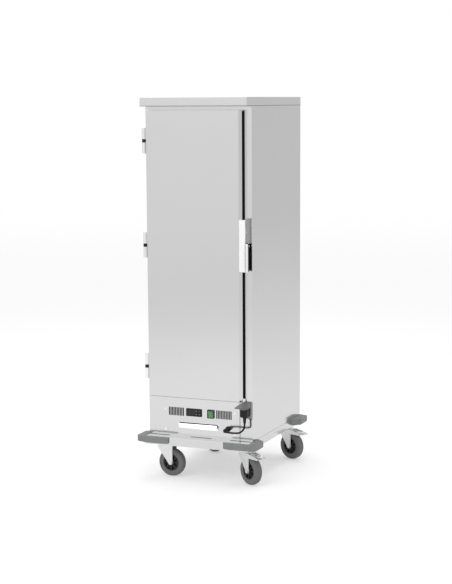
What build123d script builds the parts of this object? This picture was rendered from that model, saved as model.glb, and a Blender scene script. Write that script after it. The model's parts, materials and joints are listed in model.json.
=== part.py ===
from build123d import *
import math
import os

# Heated banquet cart on four swivel casters, in millimetres
# While it is built, x = 0 is the middle plane, y = 0 the front face and z = 0 the floor

# Driving sizes of the cart
opening_half_width = 186.0
jamb_width = 59.0
cart_depth = 600.0
cart_height = 1660.0
wall_thickness = 32.0
wheel_radius = 62.5
tyre_clearance = 12.0
crown_thickness = 4.0
crown_gap = 0.5
raceway_depth = 9.0
plate_thickness = 4.5
chassis_height = 35.0
ledge_reach = 50.0
panel_height = 171.0
cap_height = 37.0
cap_reach = 56.0
header_height = 15.0
sheet = 1.2
liner_sheet = 1.0
rest_gap = 0.3
seam_gap = 2.6
running_clearance = 0.05
press_relief = 0.02
overrun = 2.0

half_width = opening_half_width + jamb_width
side_inside = half_width - sheet
crown_top = 2 * wheel_radius + tyre_clearance + crown_thickness
raceway_bottom = crown_top + crown_gap
plate_bottom = raceway_bottom + raceway_depth
chassis_bottom = plate_bottom + plate_thickness
chassis_top = chassis_bottom + chassis_height
panel_top = chassis_top + panel_height
cap_bottom = cart_height - cap_height
header_bottom = cap_bottom - header_height

# The door, and the front frame that it closes against
door_thickness = 32.0
door_gap = 1.0
door_lap = 11.5
bevel_width = 13.0
bevel_depth = 8.0
post_gap = 12.7
post_bevel_width = 14.5
seal_side_gap = 1.8
frame_face = 36.0
frame_strip_height = 28.0
door_right_edge = opening_half_width + door_lap
door_flat_edge = door_right_edge - bevel_width
post_left_edge = door_right_edge + post_gap
post_flat_edge = post_left_edge + post_bevel_width
seal_left_edge = door_right_edge + seal_side_gap
door_bottom = panel_top + door_gap
door_top = header_bottom - door_gap

# The heated cavity inside
cavity_half_width = half_width - wall_thickness - liner_sheet
cavity_back = cart_depth - wall_thickness - liner_sheet - sheet
floor_thickness = 30.0
floor_rise = 15.0
ceiling_drop = 20.0
cavity_floor = panel_top + floor_rise
insulation_bottom = cavity_floor - liner_sheet - floor_thickness
cavity_ceiling = header_bottom - ceiling_drop

finished = {}
cord_nodes = ("cord", "plug")


def keep(name, *shapes):
    """Label a finished piece, or a group of separate solids that share one node."""
    solids = [solid for shape in shapes for solid in shape.solids()]
    piece = solids[0] if len(solids) == 1 else Compound(solids)
    piece.label = name
    finished[name] = piece


def block(x_low, x_high, y_low, y_high, z_low, z_high):
    with BuildPart() as piece:
        with BuildSketch(Plane.XY.offset(z_low)):
            with Locations(((x_low + x_high) / 2, (y_low + y_high) / 2)):
                Rectangle(x_high - x_low, y_high - y_low)
        extrude(amount=z_high - z_low)
    return piece.part


def tube(x_low, x_high, y_low, y_high, z_low, z_high, wall, along):
    """A rectangular tube, open at both ends, that runs along one axis."""
    with BuildPart() as piece:
        add(block(x_low, x_high, y_low, y_high, z_low, z_high))
        reach = {axis: (-overrun if axis == along else wall) for axis in "xyz"}
        add(block(x_low + reach["x"], x_high - reach["x"], y_low + reach["y"], y_high - reach["y"],
                  z_low + reach["z"], z_high - reach["z"]), mode=Mode.SUBTRACT)
    return piece.part


def upright_prism(points, z_low, z_high):
    with BuildPart() as piece:
        with BuildSketch(Plane.XY.offset(z_low)):
            with BuildLine():
                Polyline(*points, close=True)
            make_face()
        extrude(amount=z_high - z_low)
    return piece.part


def side_prism(points, x_low, x_high):
    """A prism whose outline is drawn in y and z, and runs along x."""
    with BuildPart() as piece:
        with BuildSketch(Plane.YZ.offset(x_low)):
            with BuildLine():
                Polyline(*points, close=True)
            make_face()
        extrude(amount=x_high - x_low)
    return piece.part


def rod(radius, start, direction, length):
    with BuildPart() as piece:
        with BuildSketch(Plane(origin=start, z_dir=direction)):
            Circle(radius)
        extrude(amount=length)
    return piece.part


# Chassis: a deck sheet on a tubular frame, with corner bumpers
deck_thickness = 2.5
rail_width = 30.0
rail_wall = 2.0
cross_rail_width = 40.0
caster_inset = 50.0
front_caster = 32.0
rear_caster_inset = 68.0
caster_x = half_width - caster_inset
rear_caster = cart_depth - rear_caster_inset
rail_top = chassis_top - deck_thickness

chassis_pieces = [block(-half_width, half_width, -ledge_reach, cart_depth, rail_top, chassis_top)]
for rail_front in (-ledge_reach, cart_depth - rail_width):
    chassis_pieces.append(tube(-half_width, half_width, rail_front, rail_front + rail_width,
                               chassis_bottom, rail_top, rail_wall, "x"))
for side in (-1, 1):
    rail_x = side * (half_width - rail_width / 2)
    chassis_pieces.append(tube(rail_x - rail_width / 2, rail_x + rail_width / 2, rail_width - ledge_reach,
                               cart_depth - rail_width, chassis_bottom, rail_top, rail_wall, "y"))
for caster_y in (front_caster, rear_caster):
    cross_front = caster_y - cross_rail_width / 2
    chassis_pieces.append(tube(rail_width - half_width, half_width - rail_width, cross_front,
                               cross_front + cross_rail_width, chassis_bottom, rail_top, rail_wall, "x"))
keep("chassis", *chassis_pieces)

bumper_height = 30.0
bumper_rise = 2.0
bumper_front = 12.0
bumper_side = 37.0
bumper_front_arm = 116.0
bumper_side_arm = 112.0
bumper_corner = 13.0
bumper_tail = 30.0
bumper_taper = 30.0
bumper_tip = 6.0
bumper_edge = 4.0
bumper_top_edge = 1.5
bumper_top = chassis_top + bumper_rise


def bumper(side, edge, outward):
    """A corner bumper round the chassis corner at x = side, y = edge."""
    inner_x = side * half_width
    outer_x = side * (half_width + bumper_side)
    end_x = side * (half_width - bumper_front_arm)
    front = edge + outward * bumper_front
    tail = edge - outward * bumper_side_arm
    corners = [(end_x, edge), (end_x, edge + outward * bumper_tip), (end_x + side * bumper_taper, front),
               (inner_x, front), (outer_x, front - outward * bumper_corner),
               (outer_x, tail + outward * bumper_tail), (inner_x, tail)]
    with BuildPart() as piece:
        with BuildSketch(Plane.XY.offset(bumper_top - bumper_height)):
            with BuildLine():
                Polyline(*corners, (inner_x, edge), close=True)
            make_face()
        extrude(amount=bumper_height)
        for face_index, size in ((0, bumper_edge), (-1, bumper_top_edge)):
            level_face = piece.faces().sort_by(Axis.Z)[face_index]
            outer_rims = [rim for rim in level_face.edges() if abs(rim.center().Y - edge) > overrun]
            chamfer([rim for rim in outer_rims if abs(rim.center().X - inner_x) > overrun], size)
    return piece.part


keep("corner_bumpers", *[bumper(side, edge, outward) for side in (-1, 1)
                         for edge, outward in ((-ledge_reach, -1), (cart_depth, 1))])

# Cabinet shell
door_side = [(0, chassis_top), (cart_depth, chassis_top), (cart_depth, cap_bottom), (0, cap_bottom),
             (0, header_bottom), (frame_face, header_bottom), (frame_face, panel_top), (0, panel_top)]
keep("left_panel", side_prism(door_side, -half_width, -side_inside))
keep("right_panel", block(side_inside, half_width, 0, cart_depth, chassis_top, cap_bottom))
rear_inside = cart_depth - sheet
keep("rear_panel", block(-side_inside, side_inside, rear_inside, cart_depth, chassis_top, cap_bottom))

post_foot_front = 3.0
post_foot_back = 14.0
post_foot_rise = 17.0
post_outline = [(post_left_edge, bevel_depth), (post_flat_edge, 0), (side_inside, 0),
                (side_inside, frame_face), (post_left_edge, frame_face)]
with BuildPart() as door_post:
    with BuildSketch(Plane.XY.offset(panel_top)):
        with BuildLine():
            Polyline(*post_outline, close=True)
        make_face()
        offset(amount=-sheet, kind=Kind.INTERSECTION, mode=Mode.SUBTRACT)
    extrude(amount=header_bottom - panel_top)
    add(block(seal_left_edge, post_left_edge + sheet / 2, post_foot_front, post_foot_back,
              panel_top, panel_top + post_foot_rise))
keep("door_post", door_post.part)

frame_back = frame_face + sheet
keep("door_frame",
     tube(-side_inside, side_inside, 0, frame_face, header_bottom, cap_bottom, sheet, "x"),
     block(-side_inside, -opening_half_width, frame_face, frame_back, panel_top, header_bottom),
     block(opening_half_width, side_inside, frame_face, frame_back, panel_top, header_bottom),
     block(-opening_half_width, opening_half_width, frame_face, frame_back,
           header_bottom - frame_strip_height, header_bottom),
     block(-opening_half_width, opening_half_width, frame_face, frame_back,
           panel_top, panel_top + frame_strip_height),
     block(-side_inside, side_inside, sheet, frame_back, panel_top - sheet, panel_top))

seal_bottom_margin = 19.0
seal_top_margin = 6.0
seal_depth = 11.0
seal_front = bevel_depth + sheet
keep("post_seal", block(seal_left_edge, post_left_edge, seal_front, seal_front + seal_depth,
                        panel_top + seal_bottom_margin, header_bottom - seal_top_margin))

cap_proud = 0.4
cap_half_width = half_width + cap_proud
cap_back = cart_depth + cap_proud
with BuildPart() as top_cap:
    add(block(-cap_half_width, cap_half_width, -cap_reach, cap_back, cap_bottom, cart_height))
    add(block(sheet - cap_half_width, cap_half_width - sheet, sheet, cap_back - sheet,
              cap_bottom - overrun, cart_height - sheet), mode=Mode.SUBTRACT)
    add(block(sheet - cap_half_width, cap_half_width - sheet, sheet - cap_reach, sheet + overrun,
              cap_bottom + sheet, cart_height - sheet), mode=Mode.SUBTRACT)
keep("top_cap", top_cap.part)

# Heated cavity: liner, insulation, air system and pan racks
fan_side = 120.0
fan_depth = 38.0
fan_bore = 57.0
fan_offset = 28.5
fan_y = (frame_back + cavity_back) / 2 + fan_offset
liner_outside = cavity_half_width + liner_sheet
liner_back = cavity_back + liner_sheet
liner_bottom = cavity_floor - liner_sheet
insulation_top = cavity_ceiling + liner_sheet
with BuildPart() as liner_floor:
    add(block(-liner_outside, liner_outside, frame_back, liner_back, liner_bottom, cavity_floor))
    with Locations((0, fan_y, cavity_floor)):
        Hole(fan_bore, depth=liner_sheet + overrun)
keep("liner", liner_floor.part,
     block(-liner_outside, -cavity_half_width, frame_back, liner_back, cavity_floor, cavity_ceiling),
     block(cavity_half_width, liner_outside, frame_back, liner_back, cavity_floor, cavity_ceiling),
     block(-cavity_half_width, cavity_half_width, cavity_back, liner_back, cavity_floor, cavity_ceiling),
     block(-liner_outside, liner_outside, frame_back, liner_back, cavity_ceiling, insulation_top))

with BuildPart() as floor_slab:
    add(block(-liner_outside, liner_outside, frame_back, liner_back, insulation_bottom, liner_bottom))
    with Locations((0, fan_y, cavity_floor)):
        Hole(fan_bore, depth=floor_thickness + liner_sheet + overrun)
keep("insulation", floor_slab.part,
     block(-side_inside, -liner_outside, frame_back, rear_inside, insulation_bottom, insulation_top),
     block(liner_outside, side_inside, frame_back, rear_inside, insulation_bottom, insulation_top),
     block(-liner_outside, liner_outside, liner_back, rear_inside, insulation_bottom, insulation_top),
     block(-side_inside, side_inside, frame_back, rear_inside, insulation_top, cap_bottom))

fan_top = insulation_bottom
fan_bottom = fan_top - fan_depth
fan_hub = 25.0
fan_base_depth = 5.0
fan_spoke_width = 8.0
fan_spokes = 4
fan_blades = 7
fan_blade_gap = 1.5
fan_blade_sheet = 2.0
fan_blade_pitch = 35
fan_shaft = 4.0
hub_bottom = fan_bottom + fan_base_depth + rest_gap
hub_top = fan_top - fan_base_depth
with BuildPart() as fan_frame:
    add(block(-fan_side / 2, fan_side / 2, fan_y - fan_side / 2, fan_y + fan_side / 2, fan_bottom, fan_top))
    with Locations((0, fan_y, fan_top)):
        Hole(fan_bore, depth=fan_depth + overrun)
    with BuildSketch(Plane.XY.offset(fan_bottom)):
        with Locations((0, fan_y)):
            Circle(fan_hub)
            with PolarLocations(fan_bore / 2, fan_spokes):
                Rectangle(fan_bore, fan_spoke_width)
    extrude(amount=fan_base_depth)
    with Locations((0, fan_y, fan_bottom + fan_base_depth)):
        Hole(fan_shaft, depth=fan_base_depth + overrun)
keep("fan_frame", fan_frame.part)

with BuildPart() as fan_impeller:
    with BuildSketch(Plane.XY.offset(hub_bottom)):
        with Locations((0, fan_y)):
            Circle(fan_hub)
    extrude(amount=hub_top - hub_bottom)
    with BuildSketch(Plane.XY.offset(fan_bottom)):
        with Locations((0, fan_y)):
            Circle(fan_shaft - running_clearance)
    extrude(amount=fan_base_depth + overrun)
    blade_reach = fan_bore - fan_blade_gap
    blade_middle = (hub_bottom + hub_top) / 2
    for blade in range(fan_blades):
        turn = math.radians(blade * 360 / fan_blades)
        outward = Vector(math.cos(turn), math.sin(turn), 0)
        across = Vector(-math.sin(turn), math.cos(turn), 0)
        lean = math.radians(fan_blade_pitch)
        chord = across * math.cos(lean) + Vector(0, 0, math.sin(lean))
        with BuildSketch(Plane(origin=Vector(0, fan_y, blade_middle) + outward * (fan_hub - overrun),
                               x_dir=chord, z_dir=outward)):
            Rectangle(hub_top - hub_bottom, fan_blade_sheet)
        extrude(amount=blade_reach - fan_hub)
keep("fan_impeller", fan_impeller.part)

heater_loop = 82.0
heater_tube = 4.0
heater_height = 13.0
heater_sweep = 300
heater_z = cavity_floor + heater_height
with BuildPart() as heater_element:
    with BuildLine(Plane.XY.offset(heater_z)):
        loop = CenterArc((0, fan_y), heater_loop, 0, heater_sweep)
    with BuildSketch(Plane(origin=loop @ 0, z_dir=loop % 0)):
        Circle(heater_tube)
    sweep(path=loop)
    for end in (0, 1):
        foot = loop @ end
        add(rod(heater_tube, (foot.X, foot.Y, cavity_floor), (0, 0, 1), heater_height + heater_tube / 2))
keep("heater_element", heater_element.part)

cover_side = 230.0
cover_height = 26.0
cover_slot = 6.0
cover_slots = 9
cover_slot_height = 14.0
cover_top = cavity_floor + cover_height
cover_half = cover_side / 2
cover_inside = cover_half - sheet
cover_beyond = cover_half + overrun
with BuildPart() as air_cover:
    add(block(-cover_half, cover_half, fan_y - cover_half, fan_y + cover_half, cavity_floor, cover_top))
    add(block(-cover_inside, cover_inside, fan_y - cover_inside, fan_y + cover_inside,
              cavity_floor - overrun, cover_top - sheet), mode=Mode.SUBTRACT)
    for slot in range(cover_slots):
        slot_low = (slot - (cover_slots - 1) / 2) * cover_side / (cover_slots + 1) - cover_slot / 2
        slot_high = slot_low + cover_slot
        slot_z = cavity_floor + (cover_height - cover_slot_height) / 2
        add(block(slot_low, slot_high, fan_y - cover_beyond, fan_y + cover_beyond,
                  slot_z, slot_z + cover_slot_height), mode=Mode.SUBTRACT)
        add(block(-cover_beyond, cover_beyond, fan_y + slot_low, fan_y + slot_high,
                  slot_z, slot_z + cover_slot_height), mode=Mode.SUBTRACT)
keep("air_cover", air_cover.part)

pan_half_width = 162.5
rack_clearance = 4.5
upright_side = 12.0
upright_front_inset = 15.0
upright_rear_inset = 25.0
rack_front_gap = 22.8
rack_back_gap = 20.8
runner_sheet = 1.5
runner_shelf = 17.0
runner_flange = 15.0
runner_pitch = 75.0
first_runner = 55.0
room_over_runners = 60.0
rack_inside = pan_half_width + rack_clearance
runner_front = frame_back + rack_front_gap
runner_rear = cavity_back - rack_back_gap
runner_rise = cavity_ceiling - cavity_floor - first_runner - room_over_runners
runner_levels = int(runner_rise / runner_pitch) + 1


def runner(side, height):
    """An L-shaped pan runner: a shelf with a flange below it."""
    wall = side * rack_inside
    tip = wall - side * runner_shelf
    face = wall - side * runner_sheet
    under = height - runner_sheet
    foot = height - runner_flange
    points = [(wall, height), (tip, height), (tip, under), (face, under), (face, foot), (wall, foot)]
    with BuildPart() as piece:
        with BuildSketch(Plane.XZ.offset(-runner_rear)):
            with BuildLine():
                Polyline(*points, close=True)
            make_face()
        extrude(amount=runner_rear - runner_front)
    return piece.part


rack_pieces = []
for side in (-1, 1):
    rack_low, rack_high = sorted((side * rack_inside, side * (rack_inside + upright_side)))
    for upright_y in (runner_front + upright_front_inset, runner_rear - upright_rear_inset):
        rack_pieces.append(tube(rack_low, rack_high, upright_y, upright_y + upright_side,
                                cavity_floor, cavity_ceiling, runner_sheet, "z"))
    for level in range(runner_levels):
        rack_pieces.append(runner(side, cavity_floor + first_runner + level * runner_pitch))
keep("pan_racks", *rack_pieces)

# Door: a bevelled pan, its filling, back sheet and gasket
door_left_edge = -half_width
filling_left = door_left_edge + sheet
filling_right = door_right_edge - sheet
door_outline = [(door_left_edge, 0), (door_flat_edge, 0), (door_right_edge, bevel_depth),
                (door_right_edge, door_thickness), (door_left_edge, door_thickness)]
filling_outline = [(filling_left, sheet), (door_flat_edge - sheet / 2, sheet),
                   (filling_right, bevel_depth + sheet / 2), (filling_right, door_thickness),
                   (filling_left, door_thickness)]
with BuildPart() as door_shell:
    add(upright_prism(door_outline, door_bottom, door_top))
    add(upright_prism(filling_outline, door_bottom + sheet, door_top - sheet), mode=Mode.SUBTRACT)
keep("door_shell", door_shell.part)
door_liner_face = door_thickness - sheet
with BuildPart() as door_insulation:
    add(upright_prism(filling_outline, door_bottom + sheet, door_top - sheet))
    add(block(door_left_edge, door_right_edge, door_liner_face, door_thickness + overrun,
              door_bottom, door_top), mode=Mode.SUBTRACT)
keep("door_insulation", door_insulation.part)
keep("door_liner", block(filling_left, filling_right, door_liner_face, door_thickness,
                         door_bottom + sheet, door_top - sheet))

gasket_width = 10.0
gasket_reach = 11.0
gasket_outside = opening_half_width + gasket_reach
gasket_low = panel_top + frame_strip_height - gasket_reach
gasket_high = header_bottom - frame_strip_height + gasket_reach
gasket_inside = gasket_outside - gasket_width
gasket_back = frame_face - rest_gap
with BuildPart() as door_gasket:
    add(block(-gasket_outside, gasket_outside, door_thickness, gasket_back, gasket_low, gasket_high))
    add(block(-gasket_inside, gasket_inside, door_thickness - overrun, gasket_back + overrun,
              gasket_low + gasket_width, gasket_high - gasket_width), mode=Mode.SUBTRACT)
keep("door_gasket", door_gasket.part)

# Lift-off hinges on the left side
hinge_gap = 0.5
knuckle_radius = 8.5
bush_radius = 8.3
pin_radius = 4.0
bush_height = 14.5
knuckle_height = 47.0
hinge_sheet = 2.5
hinge_x = -half_width - hinge_gap - knuckle_radius
hinge_y = 0
hinge_height_shares = (0.1056, 0.5342, 0.8953)
leaf_length = 62.0
door_leaf_reach = 30.0
neck_gap = 0.6
lower_leaves, upper_leaves, bushings = [], [], []
for hinge_share in hinge_height_shares:
    hinge_z = door_bottom + hinge_share * (door_top - door_bottom)
    low = hinge_z - bush_height / 2
    high = hinge_z + bush_height / 2
    foot = low - knuckle_height
    head = high + knuckle_height
    leaf_outside = -half_width - hinge_sheet - neck_gap
    neck_end = frame_face + overrun
    with BuildPart() as lower_leaf:
        add(rod(knuckle_radius, (hinge_x, hinge_y, foot), (0, 0, 1), knuckle_height))
        add(block(leaf_outside, -half_width - neck_gap, hinge_y, neck_end, foot, low))
        add(block(leaf_outside, -half_width, neck_end, leaf_length, foot, low))
        add(rod(pin_radius, (hinge_x, hinge_y, foot), (0, 0, 1), head - foot))
    lower_leaves.append(lower_leaf.part)
    with BuildPart() as upper_leaf:
        add(rod(knuckle_radius, (hinge_x, hinge_y, high), (0, 0, 1), knuckle_height))
        add(block(-half_width - hinge_sheet, -half_width, hinge_y, door_leaf_reach, high, head))
        with Locations((hinge_x, hinge_y, head)):
            Hole(pin_radius + running_clearance, depth=knuckle_height + overrun)
    upper_leaves.append(upper_leaf.part)
    with BuildPart() as bushing:
        add(rod(bush_radius, (hinge_x, hinge_y, low), (0, 0, 1), bush_height - rest_gap))
        with Locations((hinge_x, hinge_y, high)):
            Hole(pin_radius + press_relief, depth=bush_height + overrun)
    bushings.append(bushing.part)
keep("hinge_lower_leaves", *lower_leaves)
keep("hinge_upper_leaves", *upper_leaves)
keep("hinge_bushings", *bushings)

# Lever latch on the door, and its keeper on the post
latch_rise = 566.0
latch_height = 221.0
latch_inset = 1.5
latch_width = 25.5
latch_proud = 20.0
latch_round = 4.0
latch_low = panel_top + latch_rise
latch_high = latch_low + latch_height
latch_left = door_right_edge - latch_inset
latch_right = latch_left + latch_width
keeper_rise = 124.0
keeper_height = 104.0
keeper_low = latch_low + keeper_rise
keeper_high = keeper_low + keeper_height
keeper_width = 17.0
keeper_proud = 15.0
keeper_left = latch_right + rest_gap
keeper_right = keeper_left + keeper_width
tongue_reach = 3.5
tongue_height = 26.0
tongue_thickness = 5.0
tongue_back = -4.0
notch_gap = 1.0
tongue_middle = (keeper_low + keeper_high) / 2
tongue_tip = latch_right + tongue_reach
lever_side_gap = 5.0
lever_top_gap = 3.0
lever_foot_gap = 1.5
lever_width = 11.5
lever_front = -31.0
lever_plate = 4.0
lever_back = -7.0
lever_left = latch_right + lever_side_gap
lever_low = latch_low + lever_foot_gap
lever_high = keeper_low - lever_top_gap
lever_right = lever_left + lever_width
lever_pin = 3.0
pivot_y = -15.0
pivot_drop = 9.0
pivot_z = lever_high - pivot_drop
with BuildPart() as latch_body:
    with BuildSketch(Plane.XY.offset(latch_low)):
        with Locations(((latch_left + latch_right) / 2, -(latch_proud + rest_gap) / 2)):
            Rectangle(latch_width, latch_proud - rest_gap)
    extrude(amount=latch_high - latch_low)
    fillet(latch_body.faces().sort_by(Axis.Y)[0].edges(), latch_round)
    foot_outline = [(door_flat_edge + sheet, -rest_gap), (door_right_edge, -rest_gap),
                    (door_right_edge, bevel_depth),
                    (door_flat_edge + sheet, sheet * bevel_depth / (door_right_edge - door_flat_edge))]
    add(upright_prism(foot_outline, latch_low, latch_high))
    add(block(latch_right - overrun, tongue_tip, tongue_back - tongue_thickness, tongue_back,
              tongue_middle - tongue_height / 2, tongue_middle + tongue_height / 2))
    pin_start = latch_right - overrun
    add(rod(lever_pin, (pin_start, pivot_y, pivot_z), (1, 0, 0), lever_right - pin_start))
keep("latch_body", latch_body.part)

with BuildPart() as latch_keeper:
    with BuildSketch(Plane.XY.offset(keeper_low)):
        with Locations(((keeper_left + keeper_right) / 2, -keeper_proud / 2)):
            Rectangle(keeper_width, keeper_proud)
    extrude(amount=keeper_high - keeper_low)
    fillet(latch_keeper.faces().sort_by(Axis.Y)[0].edges().filter_by(Axis.Z), latch_round)
    add(block(keeper_left - overrun, tongue_tip + notch_gap, -keeper_proud - overrun, tongue_back + notch_gap,
              tongue_middle - tongue_height / 2 - notch_gap,
              tongue_middle + tongue_height / 2 + notch_gap), mode=Mode.SUBTRACT)
keep("latch_keeper", latch_keeper.part)

lever_profile = [(lever_front, lever_low), (lever_front + lever_plate, lever_low),
                 (lever_front + lever_plate, lever_high), (lever_front, lever_high)]
grip_inset = 0.6
grip_profile = [(lever_front + lever_plate, lever_low), (lever_back, lever_low + 2 * lever_plate),
                (lever_back, lever_high), (lever_front + lever_plate, lever_high)]
with BuildPart() as latch_lever:
    add(side_prism(lever_profile, lever_left, lever_right))
    fillet(latch_lever.faces().sort_by(Axis.Y)[0].edges().filter_by(Axis.X), lever_plate / 2)
keep("latch_lever", latch_lever.part)
with BuildPart() as lever_grip:
    add(side_prism(grip_profile, lever_left + grip_inset, lever_right - grip_inset))
    add(rod(lever_pin + running_clearance, (lever_left - overrun, pivot_y, pivot_z), (1, 0, 0),
            lever_width + 2 * overrun), mode=Mode.SUBTRACT)
keep("lever_grip", lever_grip.part)

# Control panel and what it carries
corner_width = 59.8
vent_rise = 91.0
vent_height = 37.0
vent_width = 72.4
vent_inset = 110.0
vent_slots = 10
vent_slot_width = 5.2
screw_radius = 4.2
screw_proud = 2.0
screw_shank = 2.0
screw_length = 10.0
screw_inset = 23.2
screw_to_vent = 16.3
screw_high_rise = 118.3
screw_low_rise = 29.0
thermostat_width = 74.5
thermostat_height = 34.5
thermostat_to_vent = 121.0
thermostat_rise = 110.0
thermostat_proud = 3.0
thermostat_body_inset = 2.0
thermostat_body_depth = 55.0
switch_width = 32.0
switch_height = 38.0
switch_to_vent = 24.7
switch_to_thermostat = 80.2
switch_rise = 109.3
switch_proud = 6.0
switch_wall = 4.5
switch_body_depth = 26.0
switch_back_wall = 2.5
drawer_offset = 20.7
tray_width = 181.0
tray_height = 24.5
tray_depth = 280.0
tray_rise = 38.4
tray_front = 3.0
tray_side_gap = 0.5
gland_inset = 54.2
gland_rise = 49.0
gland_radius = 8.6
gland_tip_radius = 7.4
gland_length = 40.0
gland_flange = 12.0
gland_flange_depth = 4.0
foot_notch_width = 100.0
foot_notch_height = 1.3
foot_notch_shares = (-0.8, 0.01, 0.78)
tray_half = tray_width / 2
panel_right = half_width - corner_width
vent_low = chassis_top + vent_rise
vent_right_edge = panel_right - vent_inset
switch_x = vent_right_edge - switch_to_vent
switch_z = chassis_top + switch_rise
thermostat_x = switch_x - switch_to_thermostat
thermostat_z = chassis_top + thermostat_rise
vent_left_edge = thermostat_x - thermostat_to_vent
screw_left = vent_left_edge - screw_to_vent
screw_right = panel_right - screw_inset
screw_low = chassis_top + screw_low_rise
screw_high = chassis_top + screw_high_rise
drawer_x = thermostat_x + drawer_offset
tray_bottom = chassis_top + tray_rise
gland_x = panel_right - gland_inset
gland_z = chassis_top + gland_rise
with BuildPart() as control_panel:
    add(block(-side_inside, panel_right, 0, sheet, chassis_top, panel_top - rest_gap))
    for vent_edge in (vent_left_edge, vent_right_edge):
        vent_pitch = (vent_width - vent_slot_width) / (vent_slots - 1)
        for slot in range(vent_slots):
            slot_x = vent_edge + slot * vent_pitch
            add(block(slot_x, slot_x + vent_slot_width, -overrun, sheet + overrun,
                      vent_low, vent_low + vent_height), mode=Mode.SUBTRACT)
    for centre_x, centre_z, width, height in (
            (thermostat_x, thermostat_z, thermostat_width, thermostat_height),
            (switch_x, switch_z, switch_width, switch_height)):
        inset = thermostat_body_inset
        add(block(centre_x - width / 2 + inset, centre_x + width / 2 - inset, -overrun, sheet + overrun,
                  centre_z - height / 2 + inset, centre_z + height / 2 - inset), mode=Mode.SUBTRACT)
    add(block(drawer_x - tray_half - tray_side_gap, drawer_x + tray_half + tray_side_gap, -overrun,
              sheet + overrun, tray_bottom - tray_side_gap, tray_bottom + tray_height + tray_side_gap),
        mode=Mode.SUBTRACT)
    for hole_x in (screw_left, screw_right):
        for hole_z in (screw_low, screw_high):
            add(rod(screw_shank + press_relief, (hole_x, -overrun, hole_z), (0, 1, 0), sheet + 2 * overrun),
                mode=Mode.SUBTRACT)
    add(rod(gland_tip_radius + press_relief, (gland_x, -overrun, gland_z), (0, 1, 0), sheet + 2 * overrun),
        mode=Mode.SUBTRACT)
    for notch_share in foot_notch_shares:
        notch_x = notch_share * half_width
        add(block(notch_x - foot_notch_width / 2, notch_x + foot_notch_width / 2, -overrun, sheet + overrun,
                  chassis_top - overrun, chassis_top + foot_notch_height), mode=Mode.SUBTRACT)
keep("control_panel", control_panel.part)

panel_screws = []
for screw_x in (screw_left, screw_right):
    for screw_z in (screw_low, screw_high):
        with BuildPart() as screw:
            add(rod(screw_radius, (screw_x, 0, screw_z), (0, -1, 0), screw_proud))
            fillet(screw.faces().sort_by(Axis.Y)[0].edges(), screw_proud * 2 / 3)
            add(rod(screw_shank, (screw_x, 0, screw_z), (0, 1, 0), screw_length))
        panel_screws.append(screw.part)
keep("panel_screws", *panel_screws)

lens_width = 36.0
lens_height = 22.0
lens_depth = 1.0
lens_margin = 6.0
key_width = 9.5
key_height = 7.0
key_gap = 0.15
key_proud = 0.6
key_thickness = 3.0
key_travel = 1.0
key_column_shares = {"left": 0.155, "right": 0.345}
key_row_shares = {"upper": 0.2, "lower": -0.2}
key_columns = {name: thermostat_x + share * thermostat_width for name, share in key_column_shares.items()}
key_rows = {name: thermostat_z + share * thermostat_height for name, share in key_row_shares.items()}
key_pocket = key_thickness - key_proud + key_travel + key_gap
bezel_round = 2.5
lens_left = thermostat_x - thermostat_width / 2 + lens_margin
with BuildPart() as thermostat:
    with BuildSketch(Plane.XZ):
        with Locations((thermostat_x, thermostat_z)):
            RectangleRounded(thermostat_width, thermostat_height, bezel_round)
    extrude(amount=thermostat_proud)
    inset = thermostat_body_inset + rest_gap
    add(block(thermostat_x - thermostat_width / 2 + inset, thermostat_x + thermostat_width / 2 - inset,
              0, thermostat_body_depth, thermostat_z - thermostat_height / 2 + inset,
              thermostat_z + thermostat_height / 2 - inset))
    add(block(lens_left, lens_left + lens_width, -thermostat_proud - overrun, lens_depth - thermostat_proud,
              thermostat_z - lens_height / 2, thermostat_z + lens_height / 2), mode=Mode.SUBTRACT)
    pocket_width = key_width / 2 + key_gap
    pocket_height = key_height / 2 + key_gap
    for key_x in key_columns.values():
        for key_z in key_rows.values():
            add(block(key_x - pocket_width, key_x + pocket_width, -thermostat_proud - overrun,
                      key_pocket - thermostat_proud, key_z - pocket_height, key_z + pocket_height),
                mode=Mode.SUBTRACT)
keep("thermostat", thermostat.part)
keep("thermostat_lens", block(lens_left, lens_left + lens_width, -thermostat_proud,
                              lens_depth - thermostat_proud, thermostat_z - lens_height / 2,
                              thermostat_z + lens_height / 2))
key_front = -thermostat_proud - key_proud
for row, key_z in key_rows.items():
    for column, key_x in key_columns.items():
        keep(f"key_{row}_{column}",
             block(key_x - key_width / 2, key_x + key_width / 2, key_front, key_front + key_thickness,
                   key_z - key_height / 2, key_z + key_height / 2))

rocker_pivot_y = -2.0
rocker_pin = 1.5
rocker_pin_reach = 2.0
with BuildPart() as switch_frame:
    with BuildSketch(Plane.XZ):
        with Locations((switch_x, switch_z)):
            RectangleRounded(switch_width, switch_height, bezel_round)
    extrude(amount=switch_proud)
    body_half = switch_width / 2 - thermostat_body_inset - rest_gap
    body_rise = switch_height / 2 - thermostat_body_inset - rest_gap
    add(block(switch_x - body_half, switch_x + body_half, 0, switch_body_depth,
              switch_z - body_rise, switch_z + body_rise))
    well_half = switch_width / 2 - switch_wall
    well_rise = switch_height / 2 - switch_back_wall
    add(block(switch_x - well_half, switch_x + well_half, -switch_proud - overrun,
              switch_body_depth - switch_back_wall, switch_z - well_rise, switch_z + well_rise),
        mode=Mode.SUBTRACT)
    socket_half = well_half + rocker_pin_reach
    add(rod(rocker_pin + running_clearance, (switch_x - socket_half, rocker_pivot_y, switch_z), (1, 0, 0),
            2 * socket_half), mode=Mode.SUBTRACT)
keep("switch_frame", switch_frame.part)

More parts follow.
